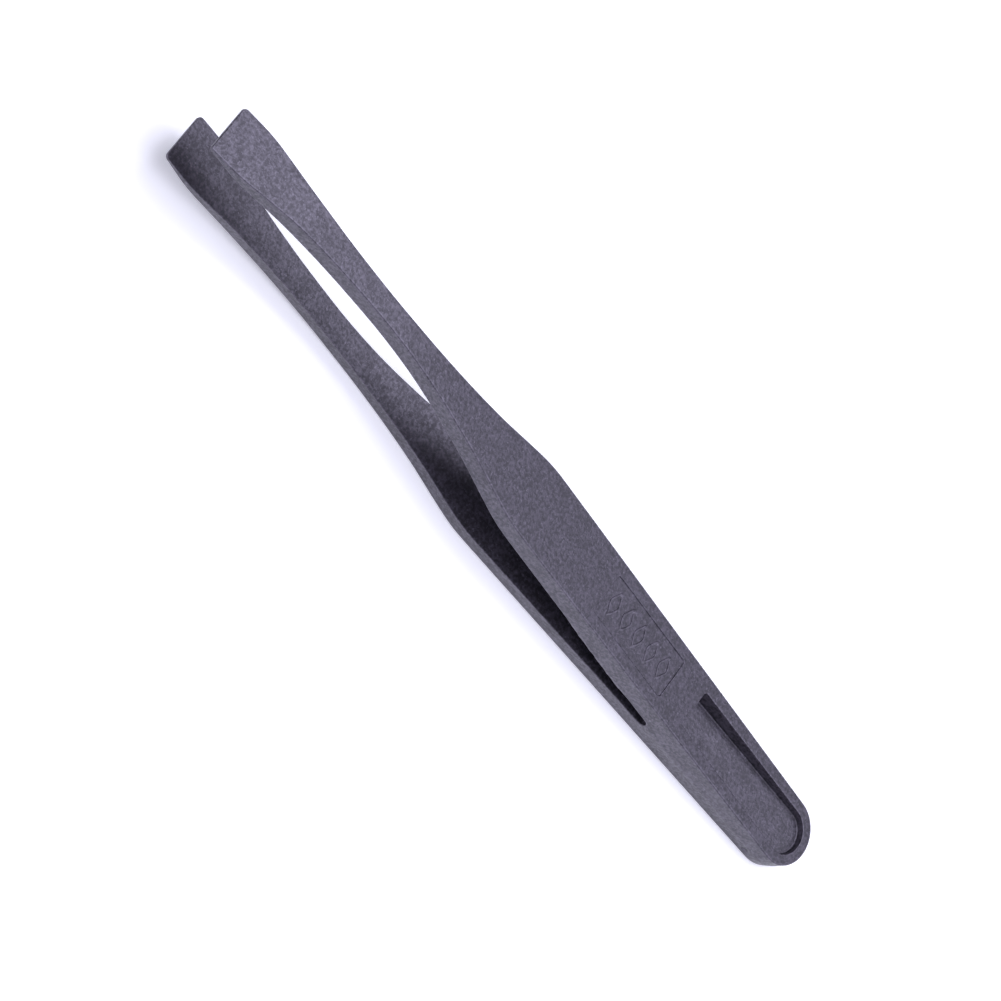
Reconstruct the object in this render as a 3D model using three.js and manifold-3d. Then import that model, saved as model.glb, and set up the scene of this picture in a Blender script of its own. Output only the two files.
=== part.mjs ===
// Flat-tipped plastic tweezers, in millimetres, lying on the outer face of the lower arm.
//
// The real object is one springy moulding: a heel block that splits into two mirrored arms.
// The arms bend near the blind end of the slot between them, so the moulding is divided there
// into the heel block and one solid for each arm, with a fine cut between them.
//
// Everything is first laid out about the moulding's own mid-plane: x runs from the butt end to
// the tips, y across the width, and z is the height above the mid-plane. The last lines turn
// the whole moulding until the lower arm's straight outer face lies flat on z = 0.

import * as THREE from 'three';
import { mergeVertices } from 'three/addons/utils/BufferGeometryUtils.js';
import Module from 'manifold-3d';

// Overall form
const LENGTH = 120; // butt end to tips
const BUTT_RADIUS = 4.35; // round butt end, seen from above
const BUTT_HALF_THICKNESS = 1.83;
const OUTER_SLOPE = 0.0636; // each outer face climbs this much per mm of length
const STRAIGHT_END = 80; // the outer faces are straight up to here
const DRAFT = 0.1; // the side walls lean out by this much per mm of depth
const EDGE = 0.15; // broken edges

// Half width of the outer faces: [distance from the butt end, half width]
const HALF_WIDTH = [
  [BUTT_RADIUS, BUTT_RADIUS], [30, 4.52], [58, 4.7], [61, 4.68], [63, 4.5], [66, 4.0],
  [71, 3.09], [77, 2.31], [83, 1.78], [89, 1.54], [95, 1.56], [101, 1.79], [107, 2.27],
  [112, 2.94], [114.5, 3.29], [116.5, 3.42], [LENGTH, 3.42],
];

// Height of an arm's outer face above the mid-plane, past the straight stretch
const OUTER_HEIGHT = [
  [STRAIGHT_END - 8, straightHeight(STRAIGHT_END - 8)], [STRAIGHT_END, straightHeight(STRAIGHT_END)],
  [87, 7.18], [94, 7.12], [100, 6.99], [106, 6.73], [111, 6.17], [115, 5.59], [LENGTH, 4.73],
];

// Height of an arm's inner face above the mid-plane: half the opening of the slot
const INNER_HEIGHT = [
  [28, 0.7], [33, 1.0], [36.5, 1.22], [43, 1.8], [49.5, 2.3], [62, 3.27], [71, 3.95], [77, 4.41],
  [83, 4.79], [89, 4.9], [95, 4.79], [101, 4.68], [106, 4.57], [111, 4.42], [LENGTH, 4.3],
];

// Heel block
const SLOT_ROOT = 27.9; // blind end of the slot
const SLOT_ROOT_RADIUS = 0.72;
const POCKET_FLOOR = 0.97; // cored pockets in both outer faces leave a web of twice this
const POCKET_END = 25.7; // square end of each pocket, towards the arms
const POCKET_BUTT_RADIUS = 2.97; // round end, concentric with the butt
const POCKET_END_HALF_WIDTH = 2.77;
const POCKET_CORNER = 0.35;

// Cut between the heel block and the arms, just past the blind end of the slot
const CUT_START = 28.9;
const CUT_GAP = 0.3;
const ARM_START = CUT_START + CUT_GAP;

// Shallow panel let into the upper arm's outer face
const PANEL_START = 30.7;
const PANEL_LENGTH = 14.8;
const PANEL_WIDTH = 5.9;
const PANEL_CORNER = 0.4;
const PANEL_DEPTH = 0.15;

// Tips
const TIP_CORNER = 0.6; // radius of the front corners, seen from above

// Lengthwise steps of the lofts
const ROUND_STEPS = 10; // over a quarter turn
const STRAIGHT_STEP = 6;
const CURVED_STEP = 1.5;
const SHOULDER_START = 57; // the width begins to change quickly here

const CLEARANCE = 1; // how far a cutter stands proud of what it cuts

function straightHeight(x) {
  return BUTT_HALF_THICKNESS + OUTER_SLOPE * x;
}

// A smooth function of x through the given stations
function curveThrough(stations) {
  const positions = Float64Array.from(stations, (station) => station[0]);
  const values = Float64Array.from(stations, (station) => station[1]);
  const interpolant = new THREE.CubicInterpolant(positions, values, 1);
  return (x) => interpolant.evaluate(x)[0];
}

const widthCurve = curveThrough(HALF_WIDTH);
const outerCurve = curveThrough(OUTER_HEIGHT);
const innerHeight = curveThrough(INNER_HEIGHT);

// How far a round corner of the given radius, ending at x = end, has pulled the side in
function cornerInset(x, end, radius) {
  const along = Math.max(0, radius - (end - x));
  return radius - Math.sqrt(Math.max(0, radius * radius - along * along));
}

function halfWidth(x) {
  if (x < BUTT_RADIUS) {
    return Math.sqrt(BUTT_RADIUS ** 2 - (BUTT_RADIUS - x) ** 2);
  }
  return widthCurve(x) - cornerInset(x, LENGTH, TIP_CORNER);
}

function outerHeight(x) {
  return x < STRAIGHT_END ? straightHeight(x) : outerCurve(x);
}

// Evenly spaced values from start to end, both included, no further apart than step
function spaced(start, end, step) {
  const count = Math.ceil((end - start) / step);
  return Array.from({ length: count + 1 }, (_, i) => start + ((end - start) * i) / count);
}

// Positions along x that follow a quarter circle of the given radius, from its pole outwards
function roundSpaced(radius) {
  const angles = Array.from({ length: ROUND_STEPS }, (_, i) => ((i + 1) / ROUND_STEPS) * (Math.PI / 2));
  return angles.map((angle) => radius * (1 - Math.cos(angle)));
}

// One cross-section: the given [y, z] points down the +y side, closed by their mirror images
function ringAt(x, side) {
  const right = side.map(([y, z]) => new THREE.Vector3(x, y, z));
  const left = side.map(([y, z]) => new THREE.Vector3(x, -y, z)).reverse();
  return [...right, ...left];
}

// A closed solid through a row of cross-sections with equal numbers of points
function loft(rings) {
  const count = rings[0].length;
  const points = rings.flat();
  const indices = [];
  for (let ring = 0; ring < rings.length - 1; ring += 1) {
    for (let i = 0; i < count; i += 1) {
      const a = ring * count + i;
      const b = ring * count + ((i + 1) % count);
      indices.push(a, a + count, b, b, a + count, b + count);
    }
  }
  const last = (rings.length - 1) * count;
  for (let i = 1; i < count - 1; i += 1) {
    indices.push(0, i, i + 1);
    indices.push(last, last + i + 1, last + i);
  }
  const geometry = new THREE.BufferGeometry().setFromPoints(points);
  geometry.setIndex(indices);
  return geometry;
}

function heelSection(x) {
  const width = halfWidth(x);
  const height = outerHeight(x);
  const edge = Math.min(EDGE, width / 3);
  const middle = width + DRAFT * height;
  return ringAt(x, [
    [width - edge, height],
    [width + DRAFT * edge, height - edge],
    [middle, 0],
    [width + DRAFT * edge, edge - height],
    [width - edge, -height],
  ]);
}

// side is 1 for the upper arm and -1 for the lower arm
function armSection(x, side) {
  const outer = outerHeight(x);
  const inner = innerHeight(x);
  const edge = Math.min(EDGE, (outer - inner) / 3);
  const outerWidth = halfWidth(x);
  const innerWidth = outerWidth + DRAFT * (outer - inner);
  const ring = ringAt(x, [
    [outerWidth - edge, side * outer],
    [outerWidth + DRAFT * edge, side * (outer - edge)],
    [innerWidth, side * (inner + edge)],
    [innerWidth - edge, side * inner],
  ]);
  return side > 0 ? ring : ring.reverse();
}

function heelGeometry() {
  const stations = [...roundSpaced(BUTT_RADIUS), ...spaced(BUTT_RADIUS, CUT_START, STRAIGHT_STEP).slice(1)];
  return loft(stations.map(heelSection));
}

function armGeometry(side) {
  const tipRound = roundSpaced(TIP_CORNER).map((inset) => LENGTH - inset).reverse();
  const stations = [
    ...spaced(ARM_START, SHOULDER_START, STRAIGHT_STEP),
    ...spaced(SHOULDER_START, LENGTH - TIP_CORNER, CURVED_STEP).slice(1, -1),
    ...tipRound,
    LENGTH,
  ];
  return loft(stations.map((x) => armSection(x, side)));
}

// Outline of a cored pocket: round at the butt end, square with broken corners at the other
function pocketShape() {
  const shape = new THREE.Shape();
  shape.absarc(BUTT_RADIUS, 0, POCKET_BUTT_RADIUS, Math.PI / 2, (3 * Math.PI) / 2, false);
  shape.lineTo(POCKET_END - POCKET_CORNER, -POCKET_END_HALF_WIDTH);
  shape.quadraticCurveTo(
    POCKET_END, -POCKET_END_HALF_WIDTH, POCKET_END, POCKET_CORNER - POCKET_END_HALF_WIDTH,
  );
  shape.lineTo(POCKET_END, POCKET_END_HALF_WIDTH - POCKET_CORNER);
  shape.quadraticCurveTo(
    POCKET_END, POCKET_END_HALF_WIDTH, POCKET_END - POCKET_CORNER, POCKET_END_HALF_WIDTH,
  );
  shape.closePath();
  return shape;
}

// The pocket in the upper face (side 1) or the lower face (side -1)
function pocketCutter(side) {
  const depth = outerHeight(POCKET_END) - POCKET_FLOOR + CLEARANCE;
  const geometry = new THREE.ExtrudeGeometry(pocketShape(), { depth, bevelEnabled: false, curveSegments: 16 });
  return geometry.translate(0, 0, side > 0 ? POCKET_FLOOR : -POCKET_FLOOR - depth);
}

// The blind end of the slot, seen from the side and run across the whole width
function slotCutter() {
  const centre = SLOT_ROOT + SLOT_ROOT_RADIUS;
  const shape = new THREE.Shape();
  shape.absarc(centre, 0, SLOT_ROOT_RADIUS, Math.PI / 2, (3 * Math.PI) / 2, false);
  shape.lineTo(CUT_START + CLEARANCE, -SLOT_ROOT_RADIUS);
  shape.lineTo(CUT_START + CLEARANCE, SLOT_ROOT_RADIUS);
  shape.closePath();
  const depth = 2 * (BUTT_RADIUS + CLEARANCE);
  const geometry = new THREE.ExtrudeGeometry(shape, { depth, bevelEnabled: false });
  return geometry.rotateX(Math.PI / 2).translate(0, depth / 2, 0);
}

function roundedRectangle(length, width, corner) {
  const shape = new THREE.Shape();
  shape.moveTo(corner, -width / 2);
  shape.lineTo(length - corner, -width / 2);
  shape.absarc(length - corner, corner - width / 2, corner, -Math.PI / 2, 0, false);
  shape.absarc(length - corner, width / 2 - corner, corner, 0, Math.PI / 2, false);
  shape.absarc(corner, width / 2 - corner, corner, Math.PI / 2, Math.PI, false);
  shape.absarc(corner, corner - width / 2, corner, Math.PI, (3 * Math.PI) / 2, false);
  return shape;
}

// The panel's cutter, laid parallel to the upper arm's straight outer face
function panelCutter() {
  const shape = roundedRectangle(PANEL_LENGTH, PANEL_WIDTH, PANEL_CORNER);
  const depth = PANEL_DEPTH + CLEARANCE;
  const geometry = new THREE.ExtrudeGeometry(shape, { depth, bevelEnabled: false, curveSegments: 4 });
  geometry.translate(0, 0, -PANEL_DEPTH);
  geometry.rotateY(-Math.atan(OUTER_SLOPE));
  return geometry.translate(PANEL_START, 0, outerHeight(PANEL_START));
}

const wasm = await Module();
wasm.setup();

function toManifold(geometry) {
  const bare = geometry.clone();
  bare.deleteAttribute('normal');
  bare.deleteAttribute('uv');
  const merged = mergeVertices(bare, 1e-4);
  return new wasm.Manifold(new wasm.Mesh({
    numProp: 3,
    vertProperties: new Float32Array(merged.attributes.position.array),
    triVerts: new Uint32Array(merged.index.array),
  }));
}

function cut(geometry, cutters) {
  let solid = toManifold(geometry);
  cutters.forEach((cutter) => {
    solid = solid.subtract(toManifold(cutter));
  });
  const mesh = solid.getMesh();
  const result = new THREE.BufferGeometry();
  result.setAttribute('position', new THREE.BufferAttribute(new Float32Array(mesh.vertProperties), 3));
  result.setIndex(new THREE.BufferAttribute(new Uint32Array(mesh.triVerts), 1));
  return result;
}

// Carbon-filled, satin black plastic
const plastic = new THREE.MeshStandardMaterial({ color: 0x47464c, roughness: 0.55, metalness: 0 });

function namedMesh(name, geometry) {
  geometry.computeVertexNormals();
  const mesh = new THREE.Mesh(geometry, plastic.clone());
  mesh.name = name;
  return mesh;
}

const moulding = new THREE.Group();
moulding.add(namedMesh('heel_block', cut(heelGeometry(), [pocketCutter(1), pocketCutter(-1), slotCutter()])));
moulding.add(namedMesh('upper_arm', cut(armGeometry(1), [panelCutter()])));
moulding.add(namedMesh('lower_arm', armGeometry(-1)));

// Lay the lower arm's straight outer face on z = 0, with the origin under the middle of the whole
moulding.rotation.y = -Math.atan(OUTER_SLOPE);
moulding.updateMatrixWorld(true);
const box = new THREE.Box3().setFromObject(moulding, true);
const centre = box.getCenter(new THREE.Vector3());
moulding.position.set(-centre.x, -centre.y, -box.min.z);

const tweezers = new THREE.Group();
tweezers.add(moulding);

export default tweezers;
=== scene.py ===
"""Flat-tipped plastic tweezers: the finished surfaces around the CAD frame.

The tweezers are one springy moulding, shown here as a heel and two arms that meet it at a seam.
Each surface is laid out about the moulding's own mid-plane, in millimetres: x runs
from the butt end to the tips, y across the width, and z is the height above the mid-plane.
place_in_row() then turns it until the lower arm's straight outer face lies on the floor, in
metres, where the CAD model has it.
"""
import math

import bmesh
import bpy
from mathutils import Matrix, Vector


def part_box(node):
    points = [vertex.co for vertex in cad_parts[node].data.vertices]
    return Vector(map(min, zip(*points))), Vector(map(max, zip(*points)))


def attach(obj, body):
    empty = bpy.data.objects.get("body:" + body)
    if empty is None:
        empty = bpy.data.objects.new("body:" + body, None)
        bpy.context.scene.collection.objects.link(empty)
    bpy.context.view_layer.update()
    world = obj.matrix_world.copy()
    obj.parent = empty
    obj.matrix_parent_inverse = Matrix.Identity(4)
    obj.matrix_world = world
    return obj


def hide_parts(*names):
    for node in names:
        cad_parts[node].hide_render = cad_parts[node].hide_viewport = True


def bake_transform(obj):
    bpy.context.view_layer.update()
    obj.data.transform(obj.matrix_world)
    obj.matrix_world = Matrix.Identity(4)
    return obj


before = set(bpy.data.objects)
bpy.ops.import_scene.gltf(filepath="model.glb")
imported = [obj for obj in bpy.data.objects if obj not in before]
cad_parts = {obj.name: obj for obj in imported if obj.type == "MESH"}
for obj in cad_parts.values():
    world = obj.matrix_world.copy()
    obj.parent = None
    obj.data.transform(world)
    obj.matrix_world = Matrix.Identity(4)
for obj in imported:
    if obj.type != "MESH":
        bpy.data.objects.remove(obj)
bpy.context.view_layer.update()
MM = 0.001

# Overall form, as in the CAD model
LENGTH = 120.0
BUTT_RADIUS = 4.35
BUTT_HALF_THICKNESS = 1.83
BUTT_INSET = 0.045  # keeps the rounded edge of the butt inside the CAD model's chamfered one
HAIR = 0.002  # faces are set back by this, to stay inside the CAD model's box
OUTER_SLOPE = 0.0636
STRAIGHT_END = 80.0
CURVE_LEAD_IN = (72.0, 76.0)  # two more points of the straight that the tip's curve starts from
DRAFT = 0.1  # how far the side faces lean out, for each unit of height towards the mid-plane

HALF_WIDTH = [
    (BUTT_RADIUS, BUTT_RADIUS), (30, 4.52), (58, 4.7), (61, 4.68), (63, 4.5), (66, 4.0),
    (71, 3.09), (77, 2.31), (83, 1.78), (89, 1.54), (95, 1.56), (101, 1.79), (107, 2.27),
    (112, 2.94), (114.5, 3.29), (116.5, 3.42), (LENGTH, 3.42),
]
INNER_HEIGHT = [
    (28, 0.7), (33, 1.0), (36.5, 1.22), (43, 1.8), (49.5, 2.3), (62, 3.27), (71, 3.95), (77, 4.41),
    (83, 4.79), (89, 4.9), (95, 4.79), (101, 4.68), (106, 4.57), (111, 4.42), (LENGTH, 4.3),
]
OUTER_HEIGHT_PAST_STRAIGHT = [
    (87, 7.18), (94, 7.12), (100, 6.99), (106, 6.73), (111, 6.17), (115, 5.59), (LENGTH, 4.73),
]

# Heel and slot
SEAM = 27.2  # the heel's surface ends and the arms' surfaces begin here, inside solid plastic
SLOT_ROOT = 27.9
SLOT_ROOT_RADIUS = 0.735
POCKET_FLOOR = 0.97
POCKET_END = 25.7
POCKET_BUTT_RADIUS = 2.97
POCKET_END_HALF_WIDTH = 2.77
POCKET_CORNER = 0.5
POCKET_DRAFT = 0.05
POCKET_FILLET = 0.16
POCKET_EDGE = 0.08
POCKET_WALL_SHARES = (0.12, 0.4, 0.7, 0.9)  # rows of points down the wall

# Panel on the upper arm, with a row of plain raised lozenges
PANEL_START = 30.7
PANEL_LENGTH = 14.8
PANEL_WIDTH = 5.9
PANEL_CORNER = 0.4
PANEL_DEPTH = 0.13
PANEL_MARGIN = 0.3
PANEL_OPENING = (PANEL_START - PANEL_MARGIN, PANEL_START + PANEL_LENGTH + PANEL_MARGIN)
PANEL_COLLAR = 0.1  # the points round the panel start this far outside its outline
PANEL_LIP = 0.05  # radius of the panel's edge
PANEL_FOOT = 0.04  # size of the bevel at the foot of the panel's wall
LOZENGES = 5
LOZENGE_PITCH = 2.7
LOZENGE_HALF_LENGTH = 1.05
LOZENGE_HALF_WIDTH = 2.1
LOZENGE_STROKE = 0.3
LOZENGE_RISE = 0.08
LOZENGE_SLANT = 0.06  # how far the stroke's sides lean in
LOZENGE_SKIRT = 0.05  # width of the flat strips beside the stroke
LOZENGE_ROUNDING = 0.25  # share of each side that its rounded corner takes
LOZENGE_SHRINK = (1.1, 2.2)  # what its half length and half width lose for each unit inward

# Fine form
EDGE = 0.16  # radius of the broken edges
INNER_EDGE = 0.06  # radius of the crisper edges round the inner faces
SUPPORT = 0.12  # a flat face's first row of points lies this far in from its edge
TIP_CORNER = 0.6
SHARP_TIP_CORNER = 0.35  # the upper arm's corner on the +y side
TIP_END_EDGE = 0.1

# Small moulding flaws: (x, z) on the side face at +y, radius and depth
GATE_MARK = ((5.6, -1.0), 0.75, 0.28)
EDGE_NICK = ((103.0, 5.1), 0.32, 0.22)
SINK_STREAK = ((14.0, -0.4), 8.5, 0.7, 0.035)  # centre, half length, half height, depth
SIDE_FACE_FROM = 0.5  # only points further out in y than this can be dented by a round flaw,
STREAK_FACE_FROM = 0.9 * BUTT_RADIUS  # and only those further out than this by the streak
FLASH = (32.5, 46.5, 0.32)  # start, end and height of the thin fin left under the upper arm
FLASH_FADE_IN = 2.0
FLASH_FADE_OUT = 3.0
EJECTOR_MARK = ((19.6, 0.6), 1.8, 0.05)  # centre on the pocket floor, radius and depth
EJECTOR_SHARES = (0, 0.1, 0.25, 0.4, 0.55, 0.7, 0.8)  # its rows of points, from rim to centre
EJECTOR_SLOPE = 0.7  # share of its radius that slopes

# How finely the surfaces are divided
ARC_STEPS = 4  # a broken edge
CORNER_STEPS = 6  # a corner of the pocket or the panel
LOZENGE_STEPS = 5  # a corner of a lozenge
ROOT_STEPS = 8  # the round end of the slot
TIP_STEPS = (8, 5)  # the corner of the tip, and the edge of its end
ROUND_STEPS = 40  # the pocket's round end, and the ejector mark
BUTT_STEPS = 48  # half way round the butt
SIDE_STEPS = 10  # the height of a side face
HEEL_STEP = 0.3  # from here on, longest distances between points along x
POCKET_STEP = 0.8
GRIP_STEP = 0.5
GRIP_END = 57
WAIST_STEP = 0.4
NICK_STEP = 0.1
NICK_REACH = 0.3  # the nick's finer steps run this far to each side of it
ACROSS_SHARE = 0.8  # the outer face's middle strip is at most this share of its width
WELD = 2e-4  # points closer together than this are one
NO_LENGTH = 1e-5  # an edge shorter than this is dropped
ROUNDING = 1e-6  # stations are compared to within this
SHARP_ANGLE = 38  # degrees: a sharper edge isn't shaded smooth

# Light: slightly blue softboxes over a dim room, in front of a backdrop as pale as the floor
LIGHT_COLOUR = (0.87, 0.87, 1.0)
AMBIENT = 0.2
BACKDROP = 1.3
FLOOR_GLOW = 0.35  # the floor is a sheet lit a little from below, which keeps shadows pale
FLOOR_HALF = 0.5  # in metres: further out the lamplight fades, so the backdrop takes over

# Camera: from the aim point, by turn about the vertical, height above the floor and roll
CAMERA_AIM = Vector((2.13, 1.24, 7.0)) * MM
CAMERA_AZIMUTH = math.radians(142.216)
CAMERA_ELEVATION = math.radians(54.473)
CAMERA_ROLL = math.radians(81.086)
CAMERA_DISTANCE = 0.59623
CAMERA_LENS = 183.06


def curve_through(stations):
    """A smooth function of x through the given (x, value) stations."""
    xs = [station[0] for station in stations]
    values = [station[1] for station in stations]
    slopes = []
    for i in range(len(xs)):
        low = max(i - 1, 0)
        high = min(i + 1, len(xs) - 1)
        slopes.append((values[high] - values[low]) / (xs[high] - xs[low]))

    def value_at(x):
        i = 0
        while i < len(xs) - 2 and x > xs[i + 1]:
            i += 1
        span = xs[i + 1] - xs[i]
        t = (x - xs[i]) / span
        return (
            (1 + 2 * t) * (1 - t) ** 2 * values[i]
            + t * (1 - t) ** 2 * span * slopes[i]
            + t * t * (3 - 2 * t) * values[i + 1]
            + t * t * (t - 1) * span * slopes[i + 1]
        )

    return value_at


def straight_height(x):
    """Height of the outer face's straight part above the mid-plane."""
    return BUTT_HALF_THICKNESS - HAIR + OUTER_SLOPE * x


width_curve = curve_through([(x, half_width - HAIR) for x, half_width in HALF_WIDTH])
inner_height = curve_through(INNER_HEIGHT)
outer_curve = curve_through(
    [(x, straight_height(x)) for x in (*CURVE_LEAD_IN, STRAIGHT_END)]
    + [(x, height - HAIR) for x, height in OUTER_HEIGHT_PAST_STRAIGHT]
)


def outer_height(x):
    if x < CURVE_LEAD_IN[1]:
        return straight_height(x)
    return min(straight_height(x), outer_curve(x))


def spaced(start, end, step):
    """Evenly spaced values from start to end, both included, no further apart than step.

    The count allows for rounding, so that a whole number of steps isn't split into one more.
    """
    count = max(1, math.ceil(abs(end - start) / step - 1e-9))
    return [start + (end - start) * i / count for i in range(count + 1)]


def arc_angles(start, end, steps=ARC_STEPS):
    """Angles in radians from start to end, both given in degrees and both included."""
    return [math.radians(start + (end - start) * i / steps) for i in range(steps + 1)]


def bump(distance):
    """1 at distance 0, falling smoothly to 0 at distance 1."""
    t = min(1.0, max(0.0, 1 - distance))
    return t * t * (3 - 2 * t)


def corner_inset(x, end, radius):
    """How far a round corner of this radius, ending at x = end, has pulled the side in."""
    along = max(0.0, radius - (end - x))
    return radius - math.sqrt(max(0.0, radius * radius - along * along))


class Skin:
    """One closed surface, collected in the mid-plane frame in millimetres."""

    def __init__(self, side=1):
        self.bm = bmesh.new()
        # Mask of the pale edges and pocket wall: on the edges partly real rubbing, partly a painted
        # highlight; on the pocket's wall painted light.
        self.edge = self.bm.verts.layers.float.new("edge_wear_and_highlight")
        self.side = side

    def row(self, points, wear_and_highlight=0.0):
        """Vertices at the points, mirrored to below the mid-plane when side is -1."""
        verts = []
        for x, y, z in points:
            vert = self.bm.verts.new((x, y, z * self.side))
            vert[self.edge] = wear_and_highlight
            verts.append(vert)
        return verts

    def bridge(self, a, b, closed=False):
        """One strip of faces between two rows."""
        count = len(a)
        for i in range(count if closed else count - 1):
            j = (i + 1) % count
            self.bm.faces.new((a[i], a[j], b[j], b[i]))

    def stack(self, rows, closed=False):
        """A strip of faces between each row and the next."""
        for a, b in zip(rows, rows[1:]):
            self.bridge(a, b, closed)

    def fill(self, *loops):
        """One flat face inside a closed loop, or flat faces between loops that lie in one plane."""
        if len(loops) == 1:
            self.bm.faces.new(loops[0])
            return
        edges = []
        for loop in loops:
            for a, b in zip(loop, loop[1:] + loop[:1]):
                edges.append(self.bm.edges.get((a, b)) or self.bm.edges.new((a, b)))
        bmesh.ops.triangle_fill(self.bm, use_beauty=True, edges=edges)

    def finish(self, name):
        """The finished object, in the row frame and in metres."""
        bm = self.bm
        bmesh.ops.remove_doubles(bm, verts=bm.verts, dist=WELD)
        bmesh.ops.dissolve_degenerate(bm, edges=bm.edges, dist=NO_LENGTH)
        bmesh.ops.recalc_face_normals(bm, faces=bm.faces)
        bmesh.ops.transform(bm, matrix=place_in_row(), verts=bm.verts)
        mesh = bpy.data.meshes.new(name)
        bm.to_mesh(mesh)
        bm.free()
        mesh.shade_smooth()
        mesh.set_sharp_from_angle(angle=math.radians(SHARP_ANGLE))
        piece = bpy.data.objects.new(name, mesh)
        bpy.context.scene.collection.objects.link(piece)
        return piece


def place_in_row():
    """From the mid-plane frame, in millimetres, to the CAD model's row frame, in metres."""
    tilt = math.atan(OUTER_SLOPE)
    tip_reach = LENGTH * math.cos(tilt) + outer_height(LENGTH) * math.sin(tilt)
    far_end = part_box("lower_arm")[1][0]
    shift = Vector((far_end - tip_reach * MM, 0, BUTT_HALF_THICKNESS * math.cos(tilt) * MM))
    return Matrix.Translation(shift) @ Matrix.Rotation(-tilt, 4, "Y") @ Matrix.Scale(MM, 4)


# ---------------------------------------------------------------- heel

SIDE_STATIONS = spaced(SEAM, BUTT_RADIUS, HEEL_STEP)
BUTT_ANGLES = arc_angles(90, 270, BUTT_STEPS)[1:-1]
SIDE_LEVELS = [1 - i / SIDE_STEPS for i in range(SIDE_STEPS)]


def heel_row(inset, depth_at):
    """Round the heel from the seam at +y, past the butt, to the seam at -y.

    The row lies inset from the edge of the outer face and depth_at(height) below it, where
    height is that of the outer face above the mid-plane.
    """
    points = []

    def add(x, y, across_x, across_y):
        depth = depth_at(straight_height(x))
        lean = DRAFT * depth
        rim_x = x - across_x * inset
        py = y + across_y * (lean - inset)
        points.append((rim_x, py, straight_height(rim_x) - depth))

    for x in SIDE_STATIONS:
        add(x, width_curve(x), 0, 1)
    for angle in BUTT_ANGLES:
        c, s = math.cos(angle), math.sin(angle)
        add(BUTT_RADIUS + (BUTT_RADIUS - BUTT_INSET) * c, width_curve(BUTT_RADIUS) * s, c, s)
    for x in reversed(SIDE_STATIONS):
        add(x, -width_curve(x), 0, -1)
    return points


def side_rows(skin):
    """The heel's side wall from the mid-plane up to the flat rim of the outer face."""
    rows = []
    top = EDGE + SUPPORT
    for level in SIDE_LEVELS:
        rows.append(skin.row(heel_row(0, lambda height: top + level * (height - top))))
    rows.append(skin.row(heel_row(0, lambda height: top)))
    for angle in arc_angles(0, 90):
        inset = EDGE * (1 - math.cos(angle))
        depth = EDGE * (1 - math.sin(angle))
        rows.append(skin.row(heel_row(inset, lambda height: depth), wear_and_highlight=1.0))
    rows.append(skin.row(heel_row(EDGE + SUPPORT, lambda height: 0)))
    return rows


def pocket_plan(inset):
    """The pocket's outline pushed in by inset, as (x, y) points of one closed loop."""
    points = []
    corner_x = POCKET_END - POCKET_CORNER
    flare = (POCKET_END_HALF_WIDTH - POCKET_BUTT_RADIUS) / (corner_x - BUTT_RADIUS)
    stations = spaced(corner_x, BUTT_RADIUS, POCKET_STEP)
    for x in stations[:-1]:
        points.append((x, POCKET_BUTT_RADIUS + flare * (x - BUTT_RADIUS) - inset))
    for angle in arc_angles(90, 270, ROUND_STEPS):
        radius = POCKET_BUTT_RADIUS - inset
        points.append((BUTT_RADIUS + radius * math.cos(angle), radius * math.sin(angle)))
    for x in reversed(stations[:-1]):
        points.append((x, inset - POCKET_BUTT_RADIUS - flare * (x - BUTT_RADIUS)))
    corner_y = POCKET_END_HALF_WIDTH - POCKET_CORNER
    corner_radius = POCKET_CORNER - inset
    for centre_y, start in ((-corner_y, -90), (corner_y, 0)):
        for angle in arc_angles(start, start + 90, CORNER_STEPS)[1:]:
            x = corner_x + corner_radius * math.cos(angle)
            points.append((x, centre_y + corner_radius * math.sin(angle)))
    return points[:-1]


def pocket_rows(skin):
    """The pocket from the flat rim, over its edge and down the wall, to the flat floor.

    The wall is given the edges' pale colour, painted light that lifts the shade falling in it.
    """
    base = [straight_height(x) for x, _ in pocket_plan(0)]

    def row(level, wear_and_highlight=0.0):
        """A row at level(height): its inset, then its depth, or None and its own height."""
        points = []
        for i, height in enumerate(base):
            inset, depth, floor = level(height)
            x, y = pocket_plan(inset)[i]
            points.append((x, y, floor if depth is None else straight_height(x) - depth))
        return skin.row(points, wear_and_highlight)

    def floor_lean(height):
        return POCKET_DRAFT * (height - POCKET_FLOOR)

    rows = [row(lambda height: (-POCKET_EDGE - SUPPORT, 0, 0))]
    for angle in arc_angles(0, 90):
        inset = -POCKET_EDGE * (1 - math.sin(angle))
        depth = POCKET_EDGE * (1 - math.cos(angle))
        rows.append(row(lambda height: (inset, depth, 0), wear_and_highlight=1.0))
    for share in POCKET_WALL_SHARES:
        def wall(height):
            depth = POCKET_EDGE + share * (height - POCKET_FLOOR - POCKET_EDGE - POCKET_FILLET)
            return POCKET_DRAFT * depth, depth, 0
        # Painted light: the wall rows take the pale edge colour to lift their shade.
        rows.append(row(wall, wear_and_highlight=1.0))
    for angle in arc_angles(0, 90):
        run = POCKET_FILLET * (1 - math.cos(angle))
        rise = POCKET_FLOOR + POCKET_FILLET * (1 - math.sin(angle))
        rows.append(row(lambda height: (floor_lean(height) + run, None, rise)))
    run = POCKET_FILLET + SUPPORT
    rows.append(row(lambda height: (floor_lean(height) + run, None, POCKET_FLOOR)))
    return rows


def ejector_rows(skin):
    """The ejector's shallow round dish in the pocket's floor, as closed rows from its rim in."""
    (centre_x, centre_y), radius, depth = EJECTOR_MARK
    rows = []
    for share_in in EJECTOR_SHARES:
        r = radius * (1 - share_in)
        z = POCKET_FLOOR - bump(1 - min(1, share_in / EJECTOR_SLOPE)) * depth
        points = [
            (centre_x + r * math.cos(angle), centre_y + r * math.sin(angle), z)
            for angle in arc_angles(0, 360, ROUND_STEPS)[:-1]
        ]
        rows.append(skin.row(points))
    return rows


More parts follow.
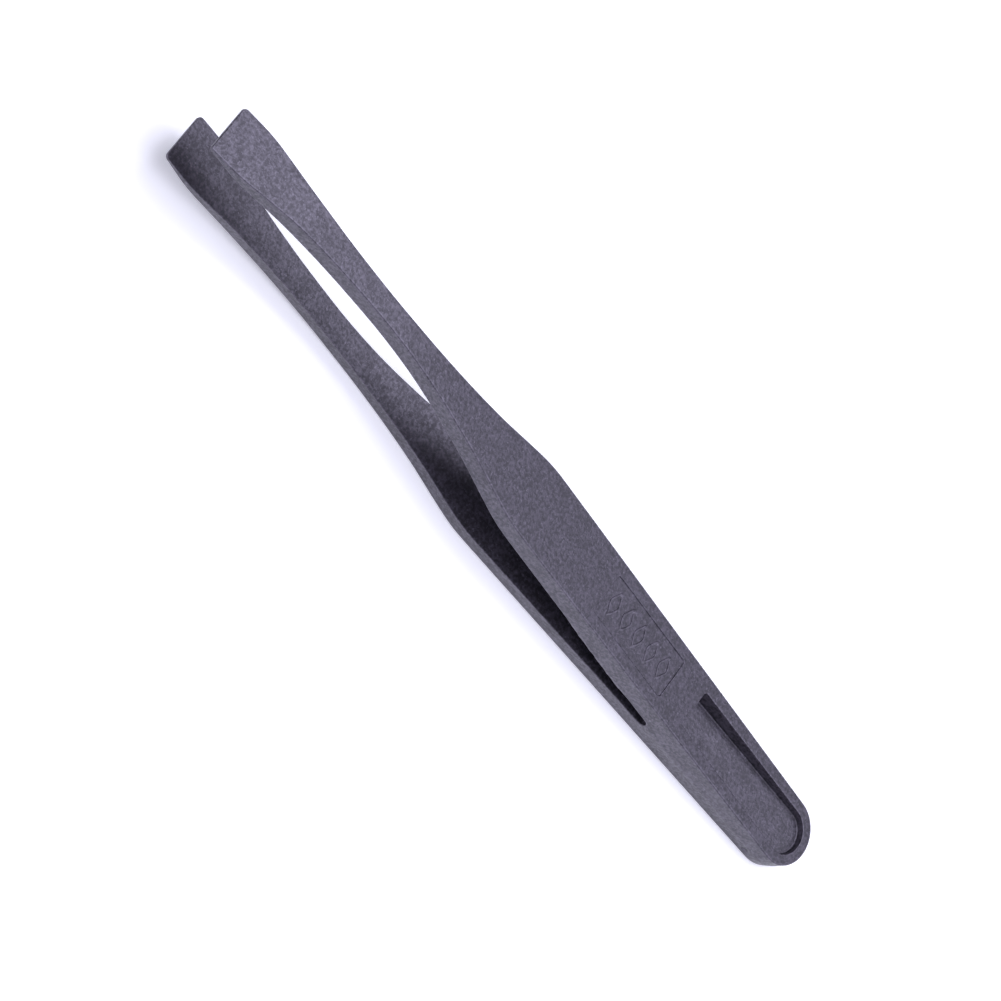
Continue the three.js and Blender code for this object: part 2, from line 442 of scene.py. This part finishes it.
def dent_side(skin):
    """Press the gate mark, the sink streak and the edge nick into the side face at +y."""
    (streak_x, streak_z), half_length, half_height, streak_depth = SINK_STREAK
    for vert in skin.bm.verts:
        x, y, z = vert.co
        for (cx, cz), radius, depth in (GATE_MARK, EDGE_NICK):
            if abs(x - cx) < radius and y > SIDE_FACE_FROM:
                vert.co.y -= depth * bump(math.hypot(x - cx, z - cz) / radius)
        along = abs(x - streak_x) / half_length
        if along < 1 and y > STREAK_FACE_FROM:
            vert.co.y -= streak_depth * bump(along) * bump(abs(z - streak_z) / half_height)


def make_heel():
    skin = Skin()
    for side in (1, -1):
        skin.side = side
        rows = side_rows(skin)
        skin.stack(rows)
        pocket = pocket_rows(skin)
        skin.stack(pocket, closed=True)
        skin.fill(rows[-1], pocket[0])
        if side > 0:
            mark = ejector_rows(skin)
            skin.stack(mark, closed=True)
            skin.fill(pocket[-1], mark[0])
            skin.fill(mark[-1])
        else:
            skin.fill(pocket[-1])
        skin.fill([row[0] for row in rows] + [row[-1] for row in reversed(rows)])
    dent_side(skin)
    return skin.finish("heel_moulding")


# ---------------------------------------------------------------- arms

class Station:
    """One cross-section: the outer face's x, and the slot's surface point and its normal."""

    def __init__(self, x, inner_x, inner_z, normal, rounded=True):
        self.x = x
        self.inner_x = inner_x
        self.inner_z = inner_z
        self.normal = normal
        self.rounded = rounded


def arm_stations():
    """An arm's cross-sections, from the seam over the round end of the slot to the tip."""
    centre = SLOT_ROOT + SLOT_ROOT_RADIUS
    up = (0, 1)
    stations = [Station(SEAM, SEAM, 0, up, rounded=False)]
    before_root = SLOT_ROOT - EDGE - SUPPORT
    stations.append(Station(before_root, before_root, 0, up, rounded=False))
    for angle in arc_angles(0, 90, ROOT_STEPS):
        c, s = math.cos(angle), math.sin(angle)
        x = centre - SLOT_ROOT_RADIUS * c
        stations.append(Station(x, x, SLOT_ROOT_RADIUS * s, (-c, s)))
    nick = EDGE_NICK[0][0]
    corner_steps, end_steps = TIP_STEPS
    xs = []
    start = centre
    for end, step in (
        (PANEL_OPENING[0], GRIP_STEP),
        (PANEL_OPENING[1], GRIP_STEP),
        (GRIP_END, GRIP_STEP),
        (nick - NICK_REACH, WAIST_STEP),
        (nick + NICK_REACH, NICK_STEP),
        (LENGTH - TIP_CORNER, WAIST_STEP),
    ):
        xs += spaced(start, end, step)[1:]
        start = end
    xs += [LENGTH - TIP_CORNER * (1 - math.sin(a)) for a in arc_angles(0, 60, corner_steps)[1:]]
    xs += [LENGTH - TIP_END_EDGE * (1 - math.sin(a)) for a in arc_angles(0, 90, end_steps)]
    for x in sorted(set(xs)):
        stations.append(Station(x, x, inner_height(x), up))
    return stations


def arm_ring(station, corners, fin):
    """Points and the wear-and-highlight mask of one cross-section, in order from the outer face's
    edge at +y.

    Both lists start with the outer face, from +y to -y, then go down the -y side, along the
    inner face and up the +y side. The corners are the radii of the tip's corners at +y and
    -y. A fin of flash this high stands on the inner edge at +y.
    """
    x = station.x
    shrink = corner_inset(x, LENGTH, TIP_END_EDGE)
    outer = outer_height(x) - shrink
    inner = station.inner_z + shrink
    thickness = outer - inner
    edge = min(EDGE, thickness / 4)  # the thin tip takes smaller edges
    support = min(SUPPORT, thickness / 10)
    inner_edge = INNER_EDGE if station.rounded else 0
    inner_support = support if station.rounded else 0
    nx, nz = station.normal

    def side_points(corner, flash):
        """Down one side, from the outer face's flat to the inner face's flat, y positive."""
        width = width_curve(x) - max(shrink, corner_inset(x, LENGTH, corner))
        inner_width = width + DRAFT * thickness
        points = [(x, width - edge - support, outer, 0)]
        for angle in arc_angles(90, 0):
            y = width - edge * (1 - math.cos(angle))
            points.append((x, y, outer - edge * (1 - math.sin(angle)), 1))
        top = outer - edge - support
        bottom = inner + inner_edge + inner_support
        for share in spaced(0, 1, 1 / SIDE_STEPS):
            z = top + share * (bottom - top)
            y = width + DRAFT * (outer - z)
            lean_in = nx * (inner_edge + inner_support) * share
            points.append((x + lean_in, y, z, 0))
        for i, angle in enumerate(arc_angles(0, 90)):
            y = inner_width - inner_edge * (1 - math.cos(angle))
            reach = inner_edge * (1 - math.sin(angle))
            drop = flash if i == 1 else 0
            points.append((station.inner_x + nx * reach, y, inner + nz * reach - drop, 1))
        y = inner_width - inner_edge - inner_support
        points.append((station.inner_x, y, inner, 0))
        return points

    right = side_points(corners[0], fin)
    left = [(px, -py, pz, wear_and_highlight) for px, py, pz, wear_and_highlight in side_points(corners[1], 0)]
    half = min(PANEL_WIDTH / 2 + PANEL_MARGIN, ACROSS_SHARE * right[0][1])
    across = [(x, half, outer, 0), (x, -half, outer, 0)]
    ring = [right[0]] + across + left + list(reversed(right[1:]))
    return [point[:3] for point in ring], [point[3] for point in ring]


def flash_height(x):
    """Height of the thin, uneven fin that the mould left along the upper arm's inner edge."""
    start, end, height = FLASH
    if not start < x < end:
        return 0
    ends = min(1, (x - start) / FLASH_FADE_IN, (end - x) / FLASH_FADE_OUT)
    ripple = 0.75 + 0.18 * math.sin(3.1 * x) + 0.1 * math.sin(7.7 * x + 1)
    return height * ends * ripple


def lozenge(centre_x, half_length, half_width):
    """A lozenge with rounded corners, as the (x, y) points of one closed loop."""
    points = []
    corners = [(half_length, 0), (0, half_width), (-half_length, 0), (0, -half_width)]
    for i, (cx, cy) in enumerate(corners):
        before, after = corners[i - 1], corners[(i + 1) % 4]
        corner = Vector((cx, cy))
        start = corner.lerp(Vector(before), LOZENGE_ROUNDING)
        end = corner.lerp(Vector(after), LOZENGE_ROUNDING)
        for step in range(LOZENGE_STEPS + 1):
            t = step / LOZENGE_STEPS
            p = (1 - t) ** 2 * start + 2 * t * (1 - t) * corner + t * t * end
            points.append((centre_x + p.x, p.y))
    return points


def panel_rectangle(inset):
    """The panel's rounded outline pushed in by inset, as (x, y) points."""
    points = []
    radius = PANEL_CORNER - inset
    near, far = PANEL_CORNER, PANEL_LENGTH - PANEL_CORNER
    wide = PANEL_WIDTH / 2 - PANEL_CORNER
    for cx, cy, start in ((far, wide, 0), (near, wide, 90), (near, -wide, 180), (far, -wide, 270)):
        for angle in arc_angles(start, start + 90, CORNER_STEPS):
            x = PANEL_START + cx + radius * math.cos(angle)
            points.append((x, cy + radius * math.sin(angle)))
    return points


def make_panel(skin, frame_loop):
    """The shallow panel in the opening that frame_loop leaves in the outer face."""

    def row(outline, depth, wear_and_highlight=0.0):
        return skin.row([(x, y, straight_height(x) - depth) for x, y in outline], wear_and_highlight)

    levels = [(-PANEL_COLLAR, 0, 0), (-PANEL_LIP, 0, 1)]
    for angle in arc_angles(30, 90, 2):
        inset = -PANEL_LIP * (1 - math.sin(angle))
        levels.append((inset, PANEL_LIP * (1 - math.cos(angle)), 1))
    levels += [
        (PANEL_FOOT, PANEL_DEPTH - PANEL_FOOT, 0),
        (2 * PANEL_FOOT, PANEL_DEPTH, 0),
        (4 * PANEL_FOOT, PANEL_DEPTH, 0),
    ]
    rows = [row(panel_rectangle(inset), depth, wear_and_highlight) for inset, depth, wear_and_highlight in levels]
    skin.stack(rows, closed=True)
    skin.fill(frame_loop, rows[0])

    floor_loops = [rows[-1]]
    middle = PANEL_START + PANEL_LENGTH / 2
    shrink_length, shrink_width = LOZENGE_SHRINK
    for i in range(LOZENGES):
        centre = middle + (i - (LOZENGES - 1) / 2) * LOZENGE_PITCH
        stroke = []
        for inward, rise, wear_and_highlight in (
            (-LOZENGE_SKIRT, 0, 0),
            (0, 0, 0),
            (LOZENGE_SLANT, LOZENGE_RISE, 1),
            (LOZENGE_STROKE - LOZENGE_SLANT, LOZENGE_RISE, 1),
            (LOZENGE_STROKE, 0, 0),
            (LOZENGE_STROKE + LOZENGE_SKIRT, 0, 0),
        ):
            half_length = LOZENGE_HALF_LENGTH - shrink_length * inward
            half_width = LOZENGE_HALF_WIDTH - shrink_width * inward
            outline = lozenge(centre, half_length, half_width)
            stroke.append(row(outline, PANEL_DEPTH - rise, wear_and_highlight))
        skin.stack(stroke, closed=True)
        floor_loops.append(stroke[0])
        skin.fill(stroke[-1])
    skin.fill(*floor_loops)


def make_arm(name, side):
    """The upper arm, with its panel and flaws, for side 1, or the plain lower arm for -1."""
    skin = Skin(side)
    upper = side > 0
    corners = (SHARP_TIP_CORNER if upper else TIP_CORNER, TIP_CORNER)
    stations = arm_stations()
    rings = []
    for station in stations:
        fin = flash_height(station.x) if upper else 0
        points, wear_and_highlight = arm_ring(station, corners, fin)
        verts = skin.row(points)
        for vert, value in zip(verts, wear_and_highlight):
            vert[skin.edge] = value
        rings.append(verts)

    inside = [
        i for i, station in enumerate(stations)
        if PANEL_OPENING[0] - ROUNDING <= station.x <= PANEL_OPENING[1] + ROUNDING
    ]
    for i, (a, b) in enumerate(zip(rings, rings[1:])):
        for j in range(len(a)):
            if upper and j == 1 and i in inside and i + 1 in inside:
                continue  # the panel's opening, in the middle strip of the outer face
            k = (j + 1) % len(a)
            skin.bm.faces.new((a[j], a[k], b[k], b[j]))
    if upper:
        loop = [rings[i][1] for i in inside] + [rings[i][2] for i in reversed(inside)]
        make_panel(skin, loop)
    skin.fill(rings[0])
    skin.fill(rings[-1])
    if upper:
        dent_side(skin)
    return skin.finish(name)


# ---------------------------------------------------------------- materials

class Nodes:
    """A short way to add and join a material's nodes."""

    def __init__(self, name):
        self.material = bpy.data.materials.new(name)
        self.material.use_nodes = True
        self.tree = self.material.node_tree
        self.shader = self.tree.nodes["Principled BSDF"]
        coordinates = self.tree.nodes.new("ShaderNodeTexCoord")
        self.place = coordinates.outputs["Object"]

    def link(self, source, socket):
        self.tree.links.new(source, socket)

    def feed(self, value, socket):
        """Set a socket to a number or a colour, or link it to another node's output."""
        if isinstance(value, (int, float)):
            socket.default_value = value
        elif isinstance(value, tuple):
            socket.default_value = (*value, 1)
        else:
            self.link(value, socket)

    def noise(self, size_mm, seed, detail=2.0, roughness=0.55):
        """Noise between 0 and 1 whose blobs are about size_mm across."""
        node = self.tree.nodes.new("ShaderNodeTexNoise")
        node.noise_dimensions = "4D"
        node.inputs["W"].default_value = seed
        node.inputs["Scale"].default_value = 1 / (size_mm * MM)
        node.inputs["Detail"].default_value = detail
        node.inputs["Roughness"].default_value = roughness
        self.link(self.place, node.inputs["Vector"])
        return node.outputs["Fac"]

    def remap(self, value, low, high, to_low, to_high):
        node = self.tree.nodes.new("ShaderNodeMapRange")
        node.inputs["From Min"].default_value = low
        node.inputs["From Max"].default_value = high
        node.inputs["To Min"].default_value = to_low
        node.inputs["To Max"].default_value = to_high
        self.link(value, node.inputs["Value"])
        return node.outputs["Result"]

    def math(self, operation, a, b):
        node = self.tree.nodes.new("ShaderNodeMath")
        node.operation = operation
        self.feed(a, node.inputs[0])
        self.feed(b, node.inputs[1])
        return node.outputs["Value"]

    def mix(self, factor, a, b):
        node = self.tree.nodes.new("ShaderNodeMix")
        node.data_type = "RGBA"
        self.link(factor, node.inputs["Factor"])
        self.feed(a, node.inputs[6])
        self.feed(b, node.inputs[7])
        return node.outputs[2]

    def bump(self, height, strength, distance_mm, below=None):
        node = self.tree.nodes.new("ShaderNodeBump")
        node.inputs["Strength"].default_value = strength
        node.inputs["Distance"].default_value = distance_mm * MM
        self.link(height, node.inputs["Height"])
        if below:
            self.link(below, node.inputs["Normal"])
        return node.outputs["Normal"]


def carbon_filled_plastic():
    """Satin black plastic full of fine carbon, mottled and speckled. Its edges are paler, partly
    from real rubbing and partly as a painted highlight; the pocket's wall gets the same pale colour
    as painted light.
    """
    n = Nodes("carbon_filled_plastic")
    clouds = n.noise(2.0, seed=1)
    grain = n.noise(0.42, seed=2, roughness=0.6)
    speckle = n.noise(0.3, seed=3, detail=1)
    pits = n.noise(0.5, seed=4, detail=0)
    wear_and_highlight = n.tree.nodes.new("ShaderNodeAttribute")
    wear_and_highlight.attribute_name = "edge_wear_and_highlight"

    dark, pale = (0.002, 0.002, 0.003), (0.056, 0.05, 0.068)
    speckle_colour, pit_colour = (0.12, 0.11, 0.145), (0.006, 0.006, 0.009)
    # The pale edge colour is partly rubbed wear and partly a painted highlight; on the pocket's
    # wall it is painted light.
    rubbed_and_highlight_colour = (0.11, 0.1, 0.13)
    mottle = n.math("ADD", n.math("MULTIPLY", clouds, 0.25), n.math("MULTIPLY", grain, 0.75))
    colour = n.mix(n.remap(mottle, 0.43, 0.63, 0, 1), dark, pale)
    colour = n.mix(n.remap(speckle, 0.6, 0.76, 0, 0.8), colour, speckle_colour)
    colour = n.mix(n.remap(pits, 0.7, 0.8, 0, 0.6), colour, pit_colour)
    rubbed_and_highlight = n.math("MULTIPLY", wear_and_highlight.outputs["Fac"], n.remap(grain, 0.35, 0.65, 0.1, 0.6))
    colour = n.mix(rubbed_and_highlight, colour, rubbed_and_highlight_colour)
    n.link(colour, n.shader.inputs["Base Color"])

    n.link(n.remap(mottle, 0.34, 0.66, 0.5, 0.31), n.shader.inputs["Roughness"])
    n.shader.inputs["Specular IOR Level"].default_value = 1.0
    n.shader.inputs["Specular Tint"].default_value = (0.9, 0.85, 1.0, 1)
    skin = n.bump(grain, 0.7, 0.06)
    n.link(n.bump(speckle, 0.5, 0.03, skin), n.shader.inputs["Normal"])
    return n.material


def floor_material():
    """Matt pale board, very slightly uneven, that glows a little."""
    n = Nodes("pale_floor")
    haze = n.noise(60, seed=5)
    n.link(n.mix(haze, (0.88, 0.885, 0.9), (0.9, 0.9, 0.91)), n.shader.inputs["Base Color"])
    n.shader.inputs["Roughness"].default_value = 0.8
    n.shader.inputs["Specular IOR Level"].default_value = 0.2
    n.shader.inputs["Emission Color"].default_value = (*LIGHT_COLOUR, 1)
    n.shader.inputs["Emission Strength"].default_value = FLOOR_GLOW
    return n.material


# ---------------------------------------------------------------- stage

def make_floor():
    mesh = bpy.data.meshes.new("floor")
    corners = [
        (FLOOR_HALF * across, FLOOR_HALF * along, 0)
        for across, along in ((-1, -1), (1, -1), (1, 1), (-1, 1))
    ]
    mesh.from_pydata(corners, [], [(0, 1, 2, 3)])
    mesh.materials.append(floor_material())
    floor = bpy.data.objects.new("floor", mesh)
    bpy.context.scene.collection.objects.link(floor)


def make_softbox(name, centre, size, power):
    """A square lamp turned towards the tweezers: metres and watts."""
    lamp = bpy.data.lights.new(name, "AREA")
    lamp.shape = "SQUARE"
    lamp.size = size
    lamp.energy = power
    lamp.color = LIGHT_COLOUR
    holder = bpy.data.objects.new(name, lamp)
    holder.location = centre
    holder.rotation_euler = (-Vector(centre)).to_track_quat("-Z", "Y").to_euler()
    bpy.context.scene.collection.objects.link(holder)


def make_lights():
    """The softboxes that the plastic reflects, and the dim room behind its pale backdrop."""
    make_softbox("top_softbox", (0.0, 0.1, 1.0), 0.8, 5.6)
    make_softbox("back_softbox", (-0.14, -0.36, 0.92), 0.6, 3.9)
    make_softbox("heel_softbox", (-0.68, -0.08, 0.7), 0.6, 2.7)
    make_softbox("fill_softbox", (0.35, 0.75, 0.6), 0.8, 2.8)

    world = bpy.data.worlds.new("studio")
    world.use_nodes = True
    tree = world.node_tree
    background = tree.nodes["Background"]
    background.inputs["Color"].default_value = (*LIGHT_COLOUR, 1)
    rays = tree.nodes.new("ShaderNodeLightPath")
    strength = tree.nodes.new("ShaderNodeMapRange")
    strength.inputs["To Min"].default_value = AMBIENT
    strength.inputs["To Max"].default_value = BACKDROP
    tree.links.new(rays.outputs["Is Camera Ray"], strength.inputs["Value"])
    tree.links.new(strength.outputs["Result"], background.inputs["Strength"])
    bpy.context.scene.world = world


def make_camera():
    """The photograph's view: a long lens, high over the tips and the +y side, and rolled."""
    back = Vector((
        math.sin(CAMERA_AZIMUTH) * math.cos(CAMERA_ELEVATION),
        -math.cos(CAMERA_AZIMUTH) * math.cos(CAMERA_ELEVATION),
        math.sin(CAMERA_ELEVATION),
    ))
    level = Vector((0, 0, 1)).cross(back).normalized()
    upright = Matrix((level, back.cross(level), back)).transposed().to_4x4()
    lens = bpy.data.cameras.new("camera")
    lens.sensor_width = 36.0
    lens.lens = CAMERA_LENS
    lens.clip_start = 0.01
    lens.clip_end = 20.0
    camera = bpy.data.objects.new("camera", lens)
    place = Matrix.Translation(CAMERA_AIM + back * CAMERA_DISTANCE)
    camera.matrix_world = place @ upright @ Matrix.Rotation(CAMERA_ROLL, 4, "Z")
    bpy.context.scene.collection.objects.link(camera)
    bpy.context.scene.camera = camera


def bend(piece):
    """Bake an arm's placement into its mesh."""
    to_row = place_in_row()
    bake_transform(piece)


make_camera()
plastic = carbon_filled_plastic()
heel = make_heel()
upper_arm = make_arm("upper_arm_moulding", 1)
lower_arm = make_arm("lower_arm_moulding", -1)
for piece, node in ((heel, "heel_block"), (upper_arm, "upper_arm"), (lower_arm, "lower_arm")):
    piece.data.materials.append(plastic)
    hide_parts(node)
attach(heel, "heel")
bend(upper_arm)
bend(lower_arm)
make_floor()
make_lights()
bpy.context.scene.view_settings.view_transform = "Standard"
